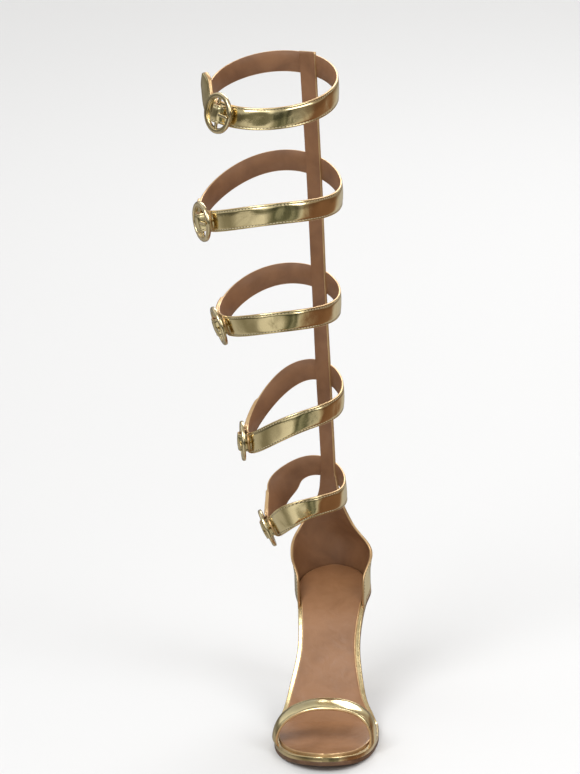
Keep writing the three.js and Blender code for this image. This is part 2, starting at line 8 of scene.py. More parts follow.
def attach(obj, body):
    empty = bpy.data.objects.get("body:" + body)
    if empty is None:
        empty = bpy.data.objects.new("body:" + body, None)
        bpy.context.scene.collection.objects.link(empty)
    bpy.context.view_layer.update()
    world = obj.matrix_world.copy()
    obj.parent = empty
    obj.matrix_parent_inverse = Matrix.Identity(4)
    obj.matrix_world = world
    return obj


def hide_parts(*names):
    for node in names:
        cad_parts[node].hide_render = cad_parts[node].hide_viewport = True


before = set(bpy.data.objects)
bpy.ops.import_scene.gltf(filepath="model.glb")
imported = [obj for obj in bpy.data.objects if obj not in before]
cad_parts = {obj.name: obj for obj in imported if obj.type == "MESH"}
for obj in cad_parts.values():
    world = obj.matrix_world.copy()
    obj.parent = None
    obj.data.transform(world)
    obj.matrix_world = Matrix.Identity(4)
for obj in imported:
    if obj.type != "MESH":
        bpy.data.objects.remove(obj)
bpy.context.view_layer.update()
MM = 0.001

# Sizes of the shoe in millimetres, as in the part's source
CLEARANCE = 0.3
BOND = 0.8  # how deep the straps lie in the spine
TAIL_BOND = 1.1  # how deep a free end lies in its strap
TREAD_LENGTH = 45
TOE_REACH = 67.5
HEEL_REACH = 147.5
BALL_WIDTH = 82
SEAT_WIDTH = 62
HEEL_RISE = 93
HEEL_SHIFT = -2
TOE_SWING = 5
TOE_ROUND = 70
SEAT_ROUND = 32
OUTSOLE = 3
PLATFORM = 3.8
INSOLE = 1.8
INSOLE_INSET = 3.2
LAYER_GAP = 0.4
HEEL_TIP_HEIGHT = 7
HEEL_TIP_WIDTH = 13
HEEL_TIP_LENGTH = 14
HEEL_TIP_PLACE = 119.5
HEEL_SEAT_LENGTH = 58
SHAFT_HEIGHT = 526
CALF_WIDTH = 106
CALF_DEPTH = 109
SPINE_LEAN = 0.02
SPINE_WIDTH = 15
COUNTER_HEIGHT = 64
WALL = 2.2
STRAP_WIDTH = 17
STRAP_WALL = 2
TAIL_LENGTH = 44
TAIL_TIP_FROM = 0.74
TAIL_TIP_WIDTH = 0.32
TAIL_LIFT = 0.006
BUCKLE_WIDTH = 31.5
BUCKLE_BAND = 4
BUCKLE_THICKNESS = 3
BAR_WIDTH = 2.6
PRONG_WIDTH = 3
PRONG_EYE = 1.1
PRONG_THICKNESS = 2
PRONG_OVERHANG = 1.2
TOE_STRAP_WIDTH = 15.5
TOE_STRAP_OVERHANG = 1
TOE_STRAP_HEIGHT = 40
TOE_STRAP_PLACE = -20
TOE_STRAP_TURN = 4
TOE_STRAP_SKEW = 4
TOE_STRAP_TILT = 13

PLAN_LENGTH = TOE_REACH + HEEL_REACH
SOLE_STACK = OUTSOLE + PLATFORM
BORE = BUCKLE_WIDTH / 2 - BUCKLE_BAND  # inner radius of a buckle

# Sole line from the side: share of the plan length, share of HEEL_RISE
SOLE_LINE = [
    (0, 0.06),
    (0.1, 0.018),
    ((TOE_REACH - TREAD_LENGTH / 2) / PLAN_LENGTH, 0),
    ((TOE_REACH + TREAD_LENGTH / 2) / PLAN_LENGTH, 0),
    (0.49, 0.085),
    (0.56, 0.24),
    (0.67, 0.55),
    (0.77, 0.79),
    (0.87, 0.925),
    (1, 1),
]

# Outline of the sole: share of the plan length, inner side, outer side, as shares of half the ball width
SOLE_SIDES = [(0, 1, 0.98), (0.3, 1, 1), (0.42, 0.96, 0.99), (0.56, 0.66, 0.82), (0.68, 0.54, 0.67)]

# Outline at the heel seat: share of the plan length, share of half the seat width
SEAT_SIDES = [(0.79, 0.88), (0.86, 1), (1, 1)]

# Heel column: height, width, front and back, as in the part's source
HEEL_SECTIONS = [
    (0.36, 0.25, 0.53, 0.235),
    (0.6, 0.39, 0.61, 0.18),
    (0.77, 0.63, 0.74, 0.11),
    (0.9, 0.86, 0.89, 0.045),
    (1.06, 0.95, 1.02, 0.025),
]

# The form inside the counter and the leg straps: height, width, depth, back, shift to the outer side
COUNTER_SECTIONS = [
    (0, 0.96, 1.03, 0.983, 0),
    (0.25, 1.04, 1.06, 0.99, 0),
    (0.65, 0.98, 1.12, 0.957, 0.2),
    (1, 1, 1.14, 0.928, 0.34),
]
SEAT_BLEND = 0.5
LEG_SECTIONS = [
    (0.355, 0.665, 0.7, 0.909, 0.45),
    (0.49, 0.68, 0.73, 0.9, 0.45),
    (0.645, 0.87, 0.91, 0.932, 0.63),
    (0.81, 1, 1, 0.972, 0.69),
    (0.965, 0.89, 0.91, 0.943, 0.59),
    (1, 0.87, 0.89, 0.933, 0.56),
]

# Front edge of the counter: height, half angle in degrees
COUNTER_EDGE = [
    (-0.4, 127),
    (0.02, 122),
    (0.18, 108),
    (0.34, 83),
    (0.52, 56),
    (0.7, 38),
    (0.85, 28),
    (1, 21),
    (1.3, 14),
]

# Leg straps from the top: heights inner, front, outer and back, buckle angle, bend of the free end
LEG_STRAPS = [
    (0.957, 0.934, 0.954, 0.984, 45, 52),
    (0.799, 0.793, 0.776, 0.83, 61, 0),
    (0.634, 0.629, 0.614, 0.657, 71, 0),
    (0.486, 0.463, 0.425, 0.504, 80, 0),
    (0.336, 0.325, 0.284, 0.352, 80, 0),
]


# Gaps too fine to see, in millimetres, and the rounds in which a height settles
HAIRLINE = 0.1
SETTLING_ROUNDS = 40


# Plain helpers
def mix(a, b, t):
    return a + (b - a) * t


def smooth(value, low, high):
    t = min(1, max(0, (value - low) / (high - low)))
    return t * t * (3 - 2 * t)


def spread(low, high, count):
    return [mix(low, high, i / count) for i in range(count + 1)]


def round_turns(count, start=0.0):
    return [2 * math.pi * (k + start) / count for k in range(count)]


def signed_power(value, power):
    return math.copysign(abs(value) ** power, value)


def running_lengths(points):
    """Distance from the first point to each point along a line."""
    lengths = [0]
    for a, b in zip(points, points[1:]):
        lengths.append(lengths[-1] + math.dist(a, b))
    return lengths


def curve_through(places, values):
    """A smooth curve through rows of places and values that never overshoots them."""
    last = len(places) - 1
    rises = [(values[i + 1] - values[i]) / (places[i + 1] - places[i]) for i in range(last)]
    slopes = [rises[0]]
    for before, after in zip(rises, rises[1:]):
        slopes.append(0 if before * after <= 0 else 2 * before * after / (before + after))
    slopes.append(rises[-1])

    def value_at(place):
        if place <= places[0]:
            return values[0] + slopes[0] * (place - places[0])
        if place >= places[last]:
            return values[last] + slopes[last] * (place - places[last])
        i = next(k for k in range(last) if place < places[k + 1])
        run = places[i + 1] - places[i]
        t = (place - places[i]) / run
        bend = run * t * (1 - t) * ((1 - t) * slopes[i] - t * slopes[i + 1])
        return mix(values[i], values[i + 1], t * t * (3 - 2 * t)) + bend

    return value_at


def wave(place, *terms):
    """Soft waves of given heights, lengths and starts, for unevenness."""
    turns = ((height, 2 * math.pi * (place / length + start)) for height, length, start in terms)
    return sum(height * math.sin(turn) for height, turn in turns)


# Materials
def new_material(name):
    material = bpy.data.materials.new(name)
    material.use_nodes = True
    nodes = material.node_tree.nodes
    return material, material.node_tree, nodes["Principled BSDF"]


def add_node(tree, kind, **settings):
    node = tree.nodes.new(kind)
    for key, value in settings.items():
        setattr(node, key, value)
    return node


def noise(tree, scale, detail=3.0, roughness=0.5, distortion=0.0):
    place = add_node(tree, "ShaderNodeTexCoord")
    made = add_node(tree, "ShaderNodeTexNoise")
    made.inputs["Scale"].default_value = scale
    made.inputs["Detail"].default_value = detail
    made.inputs["Roughness"].default_value = roughness
    made.inputs["Distortion"].default_value = distortion
    tree.links.new(place.outputs["Object"], made.inputs["Vector"])
    return made.outputs["Fac"]


def ramp(tree, source, stops):
    made = add_node(tree, "ShaderNodeValToRGB")
    elements = made.color_ramp.elements
    while len(elements) < len(stops):
        elements.new(0.5)
    for element, (place, colour) in zip(elements, stops):
        element.position = place
        element.color = (*colour, 1) if isinstance(colour, tuple) else (colour, colour, colour, 1)
    tree.links.new(source, made.inputs["Fac"])
    return made.outputs["Color"]


def bump(tree, shader, layers):
    """Bump layers one over the other, each a source, a strength and a depth in metres."""
    normal = None
    for source, strength, depth in layers:
        made = add_node(tree, "ShaderNodeBump")
        made.inputs["Strength"].default_value = strength
        made.inputs["Distance"].default_value = depth
        tree.links.new(source, made.inputs["Height"])
        if normal is not None:
            tree.links.new(normal, made.inputs["Normal"])
        normal = made.outputs["Normal"]
    tree.links.new(normal, shader.inputs["Normal"])


def leather(name, dark, light, metallic, rough, crumple, grain):
    """Leather with a mottled colour, soft crumples about 12 mm across and a fine grain."""
    material, tree, shader = new_material(name)
    tint = noise(tree, 38, 4, 0.55, 0.4)
    tree.links.new(ramp(tree, tint, [(0.32, dark), (0.62, light)]), shader.inputs["Base Color"])
    shader.inputs["Metallic"].default_value = metallic
    gloss = noise(tree, 160, 3)
    tree.links.new(ramp(tree, gloss, [(0.3, rough[0]), (0.7, rough[1])]), shader.inputs["Roughness"])
    layers = [
        (noise(tree, 80, 2, 0.45, 0.8), 1.0, crumple),
        (noise(tree, 420, 3, 0.6, 0.3), 0.6, crumple * 0.18),
        (noise(tree, 2600, 2), 0.5, grain),
    ]
    bump(tree, shader, layers)
    return material


def metal(name, colour, rough):
    material, tree, shader = new_material(name)
    tint = noise(tree, 220, 3)
    darker = tuple(0.86 * c for c in colour)
    tree.links.new(ramp(tree, tint, [(0.3, darker), (0.65, colour)]), shader.inputs["Base Color"])
    shader.inputs["Metallic"].default_value = 1.0
    wear = noise(tree, 700, 4, 0.7)
    tree.links.new(ramp(tree, wear, [(0.35, rough), (0.75, rough + 0.14)]), shader.inputs["Roughness"])
    bump(tree, shader, [(noise(tree, 500, 3), 0.35, 0.00004)])
    return material


def sole_material(name, dark, light, rough, grain_scale, depth):
    material, tree, shader = new_material(name)
    tint = noise(tree, 90, 5, 0.6)
    tree.links.new(ramp(tree, tint, [(0.3, dark), (0.7, light)]), shader.inputs["Base Color"])
    worn = noise(tree, 260, 3)
    tree.links.new(ramp(tree, worn, [(0.3, rough - 0.1), (0.7, rough + 0.1)]), shader.inputs["Roughness"])
    bump(tree, shader, [(noise(tree, grain_scale, 4, 0.7), 0.6, depth)])
    return material


# Leathers: name, dark and light colour, metallic, lowest and highest roughness, crumple and grain in metres
LEATHERS = [
    ("gold_leather", (0.68, 0.57, 0.325), (0.78, 0.665, 0.39), 1.0, (0.1, 0.19), 0.0003, 0.00003),
    ("gold_cut_edge", (0.55, 0.34, 0.17), (0.72, 0.5, 0.27), 0.8, (0.3, 0.45), 0.0002, 0.00004),
    ("gold_wrap", (0.62, 0.48, 0.26), (0.76, 0.61, 0.35), 1.0, (0.18, 0.3), 0.0003, 0.00005),
    ("gold_thread", (0.62, 0.5, 0.3), (0.78, 0.66, 0.42), 0.15, (0.45, 0.6), 0.0001, 0.00004),
    # The next row is a darker gold for the seam grooves: painted shade in the grooves
    ("gold_seam_painted_shade", (0.26, 0.2, 0.1), (0.38, 0.3, 0.16), 0.7, (0.35, 0.5), 0.0002, 0.00003),
    ("tan_lining", (0.18, 0.082, 0.036), (0.26, 0.124, 0.056), 0.0, (0.45, 0.6), 0.0003, 0.00006),
    ("footbed", (0.25, 0.115, 0.046), (0.33, 0.16, 0.072), 0.0, (0.38, 0.52), 0.0004, 0.00006),
]
GOLD, GOLD_EDGE, GOLD_WRAP, THREAD, SEAM_PAINTED_SHADE, LINING, FOOTBED = [leather(*row) for row in LEATHERS]

# Rubber and the like, and the painted shade of the needle holes: name, dark and light colour, roughness,
# scale of the grain and its depth in metres
RUBBERS = [
    # The next row is near black: painted shade of the needle holes
    ("needle_hole_painted_shade", (0.03, 0.022, 0.01), (0.07, 0.05, 0.025), 0.7, 900, 0.00005),
    ("outsole_brown", (0.075, 0.035, 0.016), (0.16, 0.082, 0.042), 0.5, 900, 0.0001),
    ("top_piece_rubber", (0.012, 0.011, 0.01), (0.03, 0.027, 0.024), 0.6, 1200, 0.0001),
]
NEEDLE_HOLE_SHADE, OUTSOLE_BROWN, TOP_PIECE = [sole_material(*row) for row in RUBBERS]
BUCKLE_METAL = metal("buckle_metal", (0.74, 0.62, 0.39), 0.12)


# Meshes
def make_piece(name, points, faces, materials, replaces, pick=None, sharp=None):
    """A smooth-shaded piece from points in millimetres that rides on the root body."""
    mesh = bpy.data.meshes.new(name)
    mesh.from_pydata([tuple(c * MM for c in p) for p in points], [], faces)
    mesh.validate()
    piece = bpy.data.objects.new(name, mesh)
    bpy.context.scene.collection.objects.link(piece)
    for material in materials:
        mesh.materials.append(material)
    for polygon in mesh.polygons:
        polygon.use_smooth = True
        if pick:
            polygon.material_index = pick(polygon.index)
    if sharp:
        bpy.context.view_layer.objects.active = piece
        piece.select_set(True)
        bpy.ops.object.shade_smooth_by_angle(angle=math.radians(sharp))
        piece.select_set(False)
    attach(piece, "root")
    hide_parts(*replaces)


def tube_faces(rows, around, hoop):
    """Faces between rings that follow each other, with flat ends unless it is a hoop."""
    faces = []
    for r in range(rows if hoop else rows - 1):
        here = r * around
        there = ((r + 1) % rows) * around
        for i in range(around):
            j = (i + 1) % around
            faces.append((here + i, here + j, there + j, there + i))
    if not hoop:
        last = (rows - 1) * around
        faces.append(tuple(reversed(range(around))))
        faces.append(tuple(last + i for i in range(around)))
    return faces


def rings_piece(name, rings, hoop, materials, replaces, column_material=None, sharp=None):
    around = len(rings[0])
    points = [p for ring in rings for p in ring]
    faces = tube_faces(len(rings), around, hoop)
    side_faces = len(faces) - (0 if hoop else 2)

    def look(k):
        return column_material(k % around if k < side_faces else 0)

    pick = look if column_material else None
    make_piece(name, points, turned_out(points, faces), materials, replaces, pick, sharp)


def signed_volume(points, faces):
    total = 0
    for face in faces:
        a = Vector(points[face[0]])
        for k in range(1, len(face) - 1):
            total += a.dot(Vector(points[face[k]]).cross(Vector(points[face[k + 1]])))
    return total


def turned_out(points, faces):
    """The faces in the order that makes their normals point outwards."""
    return [tuple(reversed(face)) for face in faces] if signed_volume(points, faces) < 0 else faces


class Parts:
    """Closed bodies made of rings, joined in one piece and moved by a matrix."""

    def __init__(self, matrix):
        self.matrix = matrix
        self.points = []
        self.faces = []

    def add(self, rings, hoop):
        base = len(self.points)
        points = [Vector(p) for ring in rings for p in ring]
        faces = turned_out(points, tube_faces(len(rings), len(rings[0]), hoop))
        self.points += [self.matrix @ p for p in points]
        self.faces += [tuple(base + k for k in face) for face in faces]

    def make(self, name, sharp):
        make_piece(name, self.points, self.faces, [BUCKLE_METAL], [name], sharp=sharp)


# The sole
inner_rows = [(a, i * BALL_WIDTH / 2) for a, i, _ in SOLE_SIDES]
inner_rows += [(a, s * SEAT_WIDTH / 2 + HEEL_SHIFT) for a, s in SEAT_SIDES]
outer_rows = [(a, o * BALL_WIDTH / 2) for a, _, o in SOLE_SIDES]
outer_rows += [(a, s * SEAT_WIDTH / 2 - HEEL_SHIFT) for a, s in SEAT_SIDES]
inner_side = curve_through(*zip(*inner_rows))
outer_side = curve_through(*zip(*outer_rows))
sole_rise = curve_through(
    [a * PLAN_LENGTH - TOE_REACH for a, _ in SOLE_LINE],
    [r * HEEL_RISE for _, r in SOLE_LINE],
)


def end_round(along):
    to_toe = max(0, 1 - along * PLAN_LENGTH / TOE_ROUND)
    to_heel = max(0, 1 - (1 - along) * PLAN_LENGTH / SEAT_ROUND)
    return math.sqrt(max(0, 1 - to_toe**2)) * math.sqrt(max(0, 1 - to_heel**2))


INSET_FADE = 12  # half width below which an inset shrinks towards the two ends
SEAT_SHIFT_SPAN = (0.75, 0.95)  # shares of the plan length between which the heel's shift sets in


def sole_edges(along, inset):
    """Inner and outer edge of the sole at a share of the plan length."""
    rounding = end_round(along)
    middle = TOE_SWING * max(0, 1 - along * PLAN_LENGTH / TOE_REACH) ** 2
    seated = smooth(along, *SEAT_SHIFT_SPAN) * HEEL_SHIFT

    def edge(full):
        half = full * rounding
        return half - inset * min(1, half / INSET_FADE)

    inner = edge(inner_side(along) - seated)
    outer = edge(outer_side(along) + seated)
    return middle + seated + inner, middle + seated - outer


def over_sole(x, y, height):
    """A point at a height square to the sole line."""
    nudge = 0.5
    slope = (sole_rise(y + nudge) - sole_rise(y - nudge)) / (2 * nudge)
    length = math.hypot(1, slope)
    return x, y - height * slope / length, sole_rise(y) + height / length


TIP_SHARE = 0.0006  # what the layers leave out at each end, where their width would be nothing


def sole_layer(name, bottom, top, inset, materials, profile, dish=0.0, across=12):
    """A layer of the sole. The profile gives its side, and the dish how far its top is hollowed."""
    rings = []
    for t in spread(0, 1, 150):
        along = mix(TIP_SHARE, 1 - TIP_SHARE, (1 - math.cos(math.pi * t)) / 2)
        y = mix(inset - TOE_REACH, HEEL_REACH - inset, along)
        inner, outer = sole_edges(along, inset)
        half = (inner - outer) / 2
        side = [(min(dent, half * 0.8), mix(bottom, top, share)) for dent, share in profile]
        ring = [over_sole(inner - dent, y, h) for dent, h in side]
        fall = min(dish, half * 0.05)
        start = side[-1][0]
        for k in range(1, across):
            place = k / across
            x = mix(inner - start, outer + start, place)
            ring.append(over_sole(x, y, top - fall * math.sin(math.pi * place)))
        ring += [over_sole(outer + dent, y, h) for dent, h in reversed(side)]
        rings.append(ring)
    sides = len(profile)

    def column(i):
        if i < sides - 1 or sides + across - 2 < i < 2 * sides + across - 2:
            return 0
        return min(1, len(materials) - 1)

    rings_piece(name, rings, False, materials, [name], column, sharp=50)


# Sides of the layers from bottom to top: inset in millimetres, share of the layer's height
SIDE_ROUND = [(0.5, 0), (0.15, 0.06), (0, 0.2), (0, 0.5), (0, 0.82), (0.12, 0.94), (0.5, 1)]
WRAP_ROUND = [(0.3, 0), (0, 0.12), (-0.12, 0.5), (0, 0.8), (0.25, 0.95), (0.8, 1)]
sole_layer("outsole", 0, OUTSOLE, 0, [OUTSOLE_BROWN], SIDE_ROUND)
sole_layer("platform", OUTSOLE + HAIRLINE, SOLE_STACK, 0, [GOLD_WRAP], WRAP_ROUND)
SOCK_TOP = SOLE_STACK + LAYER_GAP + INSOLE
SOCK_ROUND = [(0, 0), (0, 0.6), (0.25, 0.88), (0.9, 1)]
SOCK_LOOKS = [GOLD_EDGE, FOOTBED]
sole_layer(
    "insole", SOLE_STACK + HAIRLINE, SOCK_TOP, INSOLE_INSET, SOCK_LOOKS, SOCK_ROUND, 0.5, 24
)

# The heel
heights = [HEEL_TIP_HEIGHT] + [s[0] * HEEL_RISE for s in HEEL_SECTIONS]
heel_half = curve_through(heights, [HEEL_TIP_WIDTH / 2] + [s[1] * SEAT_WIDTH / 2 for s in HEEL_SECTIONS])
heel_front = curve_through(
    heights,
    [HEEL_TIP_PLACE - HEEL_TIP_LENGTH / 2] + [HEEL_REACH - s[2] * HEEL_SEAT_LENGTH for s in HEEL_SECTIONS],
)
heel_back = curve_through(
    heights,
    [HEEL_TIP_PLACE + HEEL_TIP_LENGTH / 2] + [HEEL_REACH - s[3] * HEEL_SEAT_LENGTH for s in HEEL_SECTIONS],
)


def heel_point(turn, z, grow=0.0):
    half = heel_half(z) + grow
    front = heel_front(z) - grow
    back = heel_back(z) + grow
    return (
        HEEL_SHIFT + half * math.sin(turn),
        (front + back) / 2 + (back - front) / 2 * math.cos(turn),
        z,
    )


def heel_pieces():
    turns = round_turns(72)
    tops = []
    for turn in turns:
        z = HEEL_RISE
        for _ in range(SETTLING_ROUNDS):
            z = mix(z, sole_rise(heel_point(turn, z)[1]) - HAIRLINE, 0.5)
        tops.append(z)
    rings = []
    foot = HEEL_TIP_HEIGHT - 0.2
    turned_in = 0.35
    for share in spread(0, 1, 70):
        grow = -turned_in * max(0, 1 - share * 60)
        levels = [mix(foot, top, share) for top in tops]
        rings.append([heel_point(turn, z, grow) for turn, z in zip(turns, levels)])
    rings_piece("heel", rings, False, [GOLD_WRAP], ["heel"], sharp=60)
    top = HEEL_TIP_HEIGHT
    levels = [(0, -0.6), (0.4, -0.15), (1, 0), (top - 1.2, 0), (top - 0.5, -0.3)]
    rings = [[heel_point(turn, top, grow)[:2] + (z,) for turn in turns] for z, grow in levels]
    rings_piece("heel_tip", rings, False, [TOP_PIECE], ["heel_tip"], sharp=50)


heel_pieces()

# The leg form
seat_top = over_sole(0, HEEL_REACH, SOLE_STACK)[2]
form_rows = [
    (seat_top + a * COUNTER_HEIGHT, w * SEAT_WIDTH / 2, d * SEAT_ROUND, b * HEEL_REACH, s * CALF_WIDTH / 2)
    for a, w, d, b, s in COUNTER_SECTIONS
]
form_rows += [
    (a * SHAFT_HEIGHT, w * CALF_WIDTH / 2, d * CALF_DEPTH / 2, b * HEEL_REACH, s * CALF_WIDTH / 2)
    for a, w, d, b, s in LEG_SECTIONS
]
form_width, form_depth, form_back, form_shift = (
    curve_through([row[0] for row in form_rows], [row[k] for row in form_rows]) for k in (1, 2, 3, 4)
)


def form_middle(z):
    return HEEL_SHIFT - max(0, form_shift(z))


def spine_middle(z):
    return HEEL_SHIFT - SPINE_LEAN * max(0, z - seat_top)


def on_leg(turn, z, out):
    """A point round the leg's form: turns start at the back and go by the inner side."""
    return (
        form_middle(z) + (form_width(z) + out) * math.sin(turn),
        form_back(z) + out - (form_depth(z) + out) * (1 - math.cos(turn)),
        z,
    )


def on_seat(turn, z, out):
    """A point of the counter where it stands on the rim of the platform."""
    quarter = math.pi / 2
    past = max(0, abs(turn) - quarter)
    rounding = 1 - math.cos(min(quarter, abs(turn)))
    inset = WALL - out
    reach = over_sole(0, HEEL_REACH - inset, SOLE_STACK)[1]
    y = reach - (SEAT_ROUND - inset) * (rounding + past)
    under = y + (y - over_sole(0, y, SOLE_STACK)[1])
    along = min(1, (under + TOE_REACH - inset) / (PLAN_LENGTH - 2 * inset))
    inner, outer = sole_edges(along, inset)
    return (inner if turn > 0 else outer), y, z


def on_counter(turn, z, out):
    share = 1 - smooth(z, seat_top, seat_top + SEAT_BLEND * COUNTER_HEIGHT)
    leg = on_leg(turn, z, out)
    if share == 0:
        return leg
    seat = on_seat(turn, z, out)
    return tuple(mix(a, b, share) for a, b in zip(leg, seat))


def seat_height(y):
    """Height of the top of the platform over a place on the floor."""
    under = y + (y - over_sole(0, y, SOLE_STACK)[1])
    under = under + (y - over_sole(0, under, SOLE_STACK)[1])
    return over_sole(0, under, SOLE_STACK)[2]


counter_spread = curve_through(
    [seat_top + a * COUNTER_HEIGHT for a, _ in COUNTER_EDGE],
    [math.radians(s) for _, s in COUNTER_EDGE],
)
counter_top = seat_top + COUNTER_EDGE[-1][0] * COUNTER_HEIGHT


def back_turns(z):
    """Middle and half width of the counter or spine, as turns round the leg's form."""
    middle = math.asin((spine_middle(z) - form_middle(z)) / form_width(z))
    strip = math.asin(SPINE_WIDTH / 2 / form_width(z))
    half = max(strip, counter_spread(z)) if z < counter_top else strip
    return middle, half


# Rounded edge of the wall, from the edge inwards: place and depth below the outer face in millimetres
WALL_EDGE = [(0, 0.9), (0.125, 0.35), (0.5, 0)]
WALL_EDGE_END = 1.75
WALL_STEPS = 24
OUTER_STOPS = WALL_STEPS + 1 + 2 * len(WALL_EDGE)


def wall_section(width):
    """Round the wall of the counter and spine: share of half the width and distance from the form."""
    outside = [(-1 + place / width, WALL - depth) for place, depth in WALL_EDGE]
    end = 1 - WALL_EDGE_END / width
    outside += [(share, WALL) for share in spread(-end, end, WALL_STEPS)]
    outside += [(-share, out) for share, out in reversed(outside[: len(WALL_EDGE)])]
    end = 1 - WALL_EDGE[-1][0] / width
    return outside + [(share, 0.0) for share in spread(end, -end, WALL_STEPS)]


def back_point(share, z, out):
    middle, half = back_turns(z)
    return on_counter(middle + share * half, z, out)


RIM_GAP = 0.15


def rim_height(share, out):
    """Height at which a line up the counter starts on the rim of the platform."""
    z = seat_top
    for _ in range(SETTLING_ROUNDS):
        z = mix(z, seat_height(back_point(share, z, out)[1]) + RIM_GAP, 0.4)
    return z


def back_piece():
    width = back_turns(seat_top)[1] * form_width(seat_top)
    starts = [rim_height(share, out) for share, out in wall_section(width)]
    rings = []
    for t in spread(0, 1, 80):
        level = mix(seat_top, counter_top, t)
        section = wall_section(back_turns(level)[1] * form_width(level))
        heights_here = [mix(start, counter_top, t) for start in starts]
        rings.append([back_point(share, z, out) for (share, out), z in zip(section, heights_here)])
    for z in spread(counter_top, SHAFT_HEIGHT, 150)[1:]:
        section = wall_section(back_turns(z)[1] * form_width(z))
        rings.append([back_point(share, z, out) for share, out in section])

    def column(i):
        if 1 < i < OUTER_STOPS - 3:
            return 0
        return 1 if i < OUTER_STOPS or i == len(rings[0]) - 1 else 2

    rings_piece("upper_back", rings, False, [GOLD, GOLD_EDGE, LINING], ["upper"], column)


# Leg straps
STRAP_INSIDE = WALL - BOND


def strap_height(strap, turn):
    inner, front, outer, rear = strap[:4]
    return SHAFT_HEIGHT * (
        (inner + front + outer + rear) / 4
        + (rear - front) / 2 * math.cos(turn)
        + (inner - outer) / 2 * math.sin(turn)
        + (rear + front - inner - outer) / 4 * math.cos(2 * turn)
    )


def buckle_turn(strap):
    facing = math.radians(strap[4])
    z = strap[2] * SHAFT_HEIGHT
    return math.atan2(form_width(z) * math.sin(facing), form_depth(z) * math.cos(facing)) - math.pi


def across_strap(strap, turn, up, out):
    """A point of a leg strap, up across its width and out from its inner face."""
    nudge = 0.01
    middle = on_leg(turn, strap_height(strap, turn), STRAP_INSIDE)
    after = on_leg(turn + nudge, strap_height(strap, turn + nudge), STRAP_INSIDE)
    level = math.hypot(after[0] - middle[0], after[1] - middle[1])
    slope = math.atan2(after[2] - middle[2], level)
    shift = up * math.sin(slope) * nudge / level
    return on_leg(turn - shift, middle[2] + up * math.cos(slope), STRAP_INSIDE + out)


def strap_run(strap):
    """Millimetres along the strap for each radian, at the buckle."""
    nudge = 0.01
    centre = buckle_turn(strap)
    ends = [Vector(across_strap(strap, centre + n, 0, 0)) for n in (nudge, -nudge)]
    return (ends[0] - ends[1]).length / (2 * nudge)


def on_strap(strap, along, up, out):
    """The same, with millimetres along the strap from the middle of its buckle."""
    return Vector(across_strap(strap, buckle_turn(strap) + along / strap_run(strap), up, out))


def buckle_axes(strap):
    """Directions along the strap, down across it and out, at the buckle."""
    along = (on_strap(strap, BORE, 0, 0) - on_strap(strap, -BORE, 0, 0)).normalized()
    rough = on_strap(strap, 0, BORE, 0) - on_strap(strap, 0, -BORE, 0)
    out = along.cross(rough).normalized()
    if (on_strap(strap, 0, 0, BORE) - on_strap(strap, 0, 0, 0)).dot(out) < 0:
        out.negate()
    return along, out.cross(along), out


def buckle_seat(strap):
    """Height of the ring's underside, clear of the two layers of the strap."""
    along, down, out = buckle_axes(strap)
    rim = BUCKLE_WIDTH / 2
    origin = on_strap(strap, 0, 0, 0)
    highest = 0
    for run in spread(-rim, rim, 30):
        for side in spread(-STRAP_WIDTH / 2, STRAP_WIDTH / 2, 4):
            place = on_strap(strap, run, side, 2 * STRAP_WALL) - origin
            radius = math.hypot(place.dot(along), place.dot(down))
            if BORE - CLEARANCE < radius < rim:
                highest = max(highest, place.dot(out))
    return highest + CLEARANCE


def bar_height(strap):
    return buckle_seat(strap) + BUCKLE_THICKNESS / 2


SEAM = 1.6  # stitch line from each edge
SEAM_DEPTH = 0.4
CROWN = 0.45  # how far the face swells between its seams


def strap_section(half, inside, outside):
    """Across and out, round a strap of two layers whose outer face is puffed between its seams."""
    seam = half - SEAM
    face = [
        (-half + 0.05, -0.75),
        (-half + 0.3, -0.25),
        (-half + 0.75, 0),
        (-seam - 0.35, 0),
        (-seam, -SEAM_DEPTH),
        (-seam + 0.4, -0.02),
        (-seam * 0.72, CROWN * 0.55),
        (-seam * 0.36, CROWN * 0.92),
        (0, CROWN),
    ]
    face += [(-a, b) for a, b in reversed(face[:-1])]
    section = [(a, outside + b) for a, b in face]
    inner = [(half - 0.1, inside + 0.45), (half - 0.5, inside), (0, inside), (-half + 0.5, inside)]
    return section + inner + [(-half + 0.1, inside + 0.45)]


STRAP_FACE = 17  # points of the outer face in a strap's section

# Creases of each leg strap: turn round the leg in degrees from the back by the inner side, half length
# along the strap and height in millimetres, below zero for a trough
CREASES = {
    1: [(118, 7, -0.3), (132, 9, 0.28), (152, 8, -0.3), (168, 9, 0.25), (184, 6, -0.28), (202, 7, 0.2)],
    2: [(112, 8, 0.25), (128, 7, -0.3), (146, 9, 0.3), (163, 6, -0.26), (178, 8, 0.22), (196, 6, -0.3)],
    3: [(106, 7, -0.25), (124, 8, 0.3), (141, 7, -0.3), (158, 8, 0.25), (176, 7, -0.24), (192, 7, 0.2)],
    4: [(100, 7, 0.2), (118, 7, -0.3), (138, 8, 0.3), (156, 7, -0.28), (174, 7, 0.25), (196, 6, -0.22)],
    5: [(98, 6, -0.2), (116, 7, 0.28), (136, 7, -0.3), (155, 7, 0.28), (175, 6, -0.25), (196, 6, 0.2)],
}

# One more crease of each strap, on the way to the back by the outer side
REAR_CREASES = {
    1: (300, 12, -0.3),
    2: (320, 12, 0.3),
    3: (310, 12, -0.3),
    4: (330, 10, 0.25),
    5: (320, 10, -0.25),
}

# Creases of the toe strap: share of its length from the inner foot, the others as above
TOE_CREASES = [
    (0.12, 6, -0.2),
    (0.27, 7, 0.3),
    (0.4, 6, -0.3),
    (0.53, 8, 0.3),
    (0.66, 6, -0.25),
    (0.8, 6, 0.25),
]
CREASE_SLANT = 0.35  # creases run a little askew across the strap
CREASE_DEPTH = 2.1  # scales all heights above


def crease_height(rows, place, scale):
    """Height of all creases at a place; scale turns places into millimetres."""
    heights = (high * math.exp(-(((place - at) * scale / half) ** 2)) for at, half, high in rows)
    return CREASE_DEPTH * sum(heights)


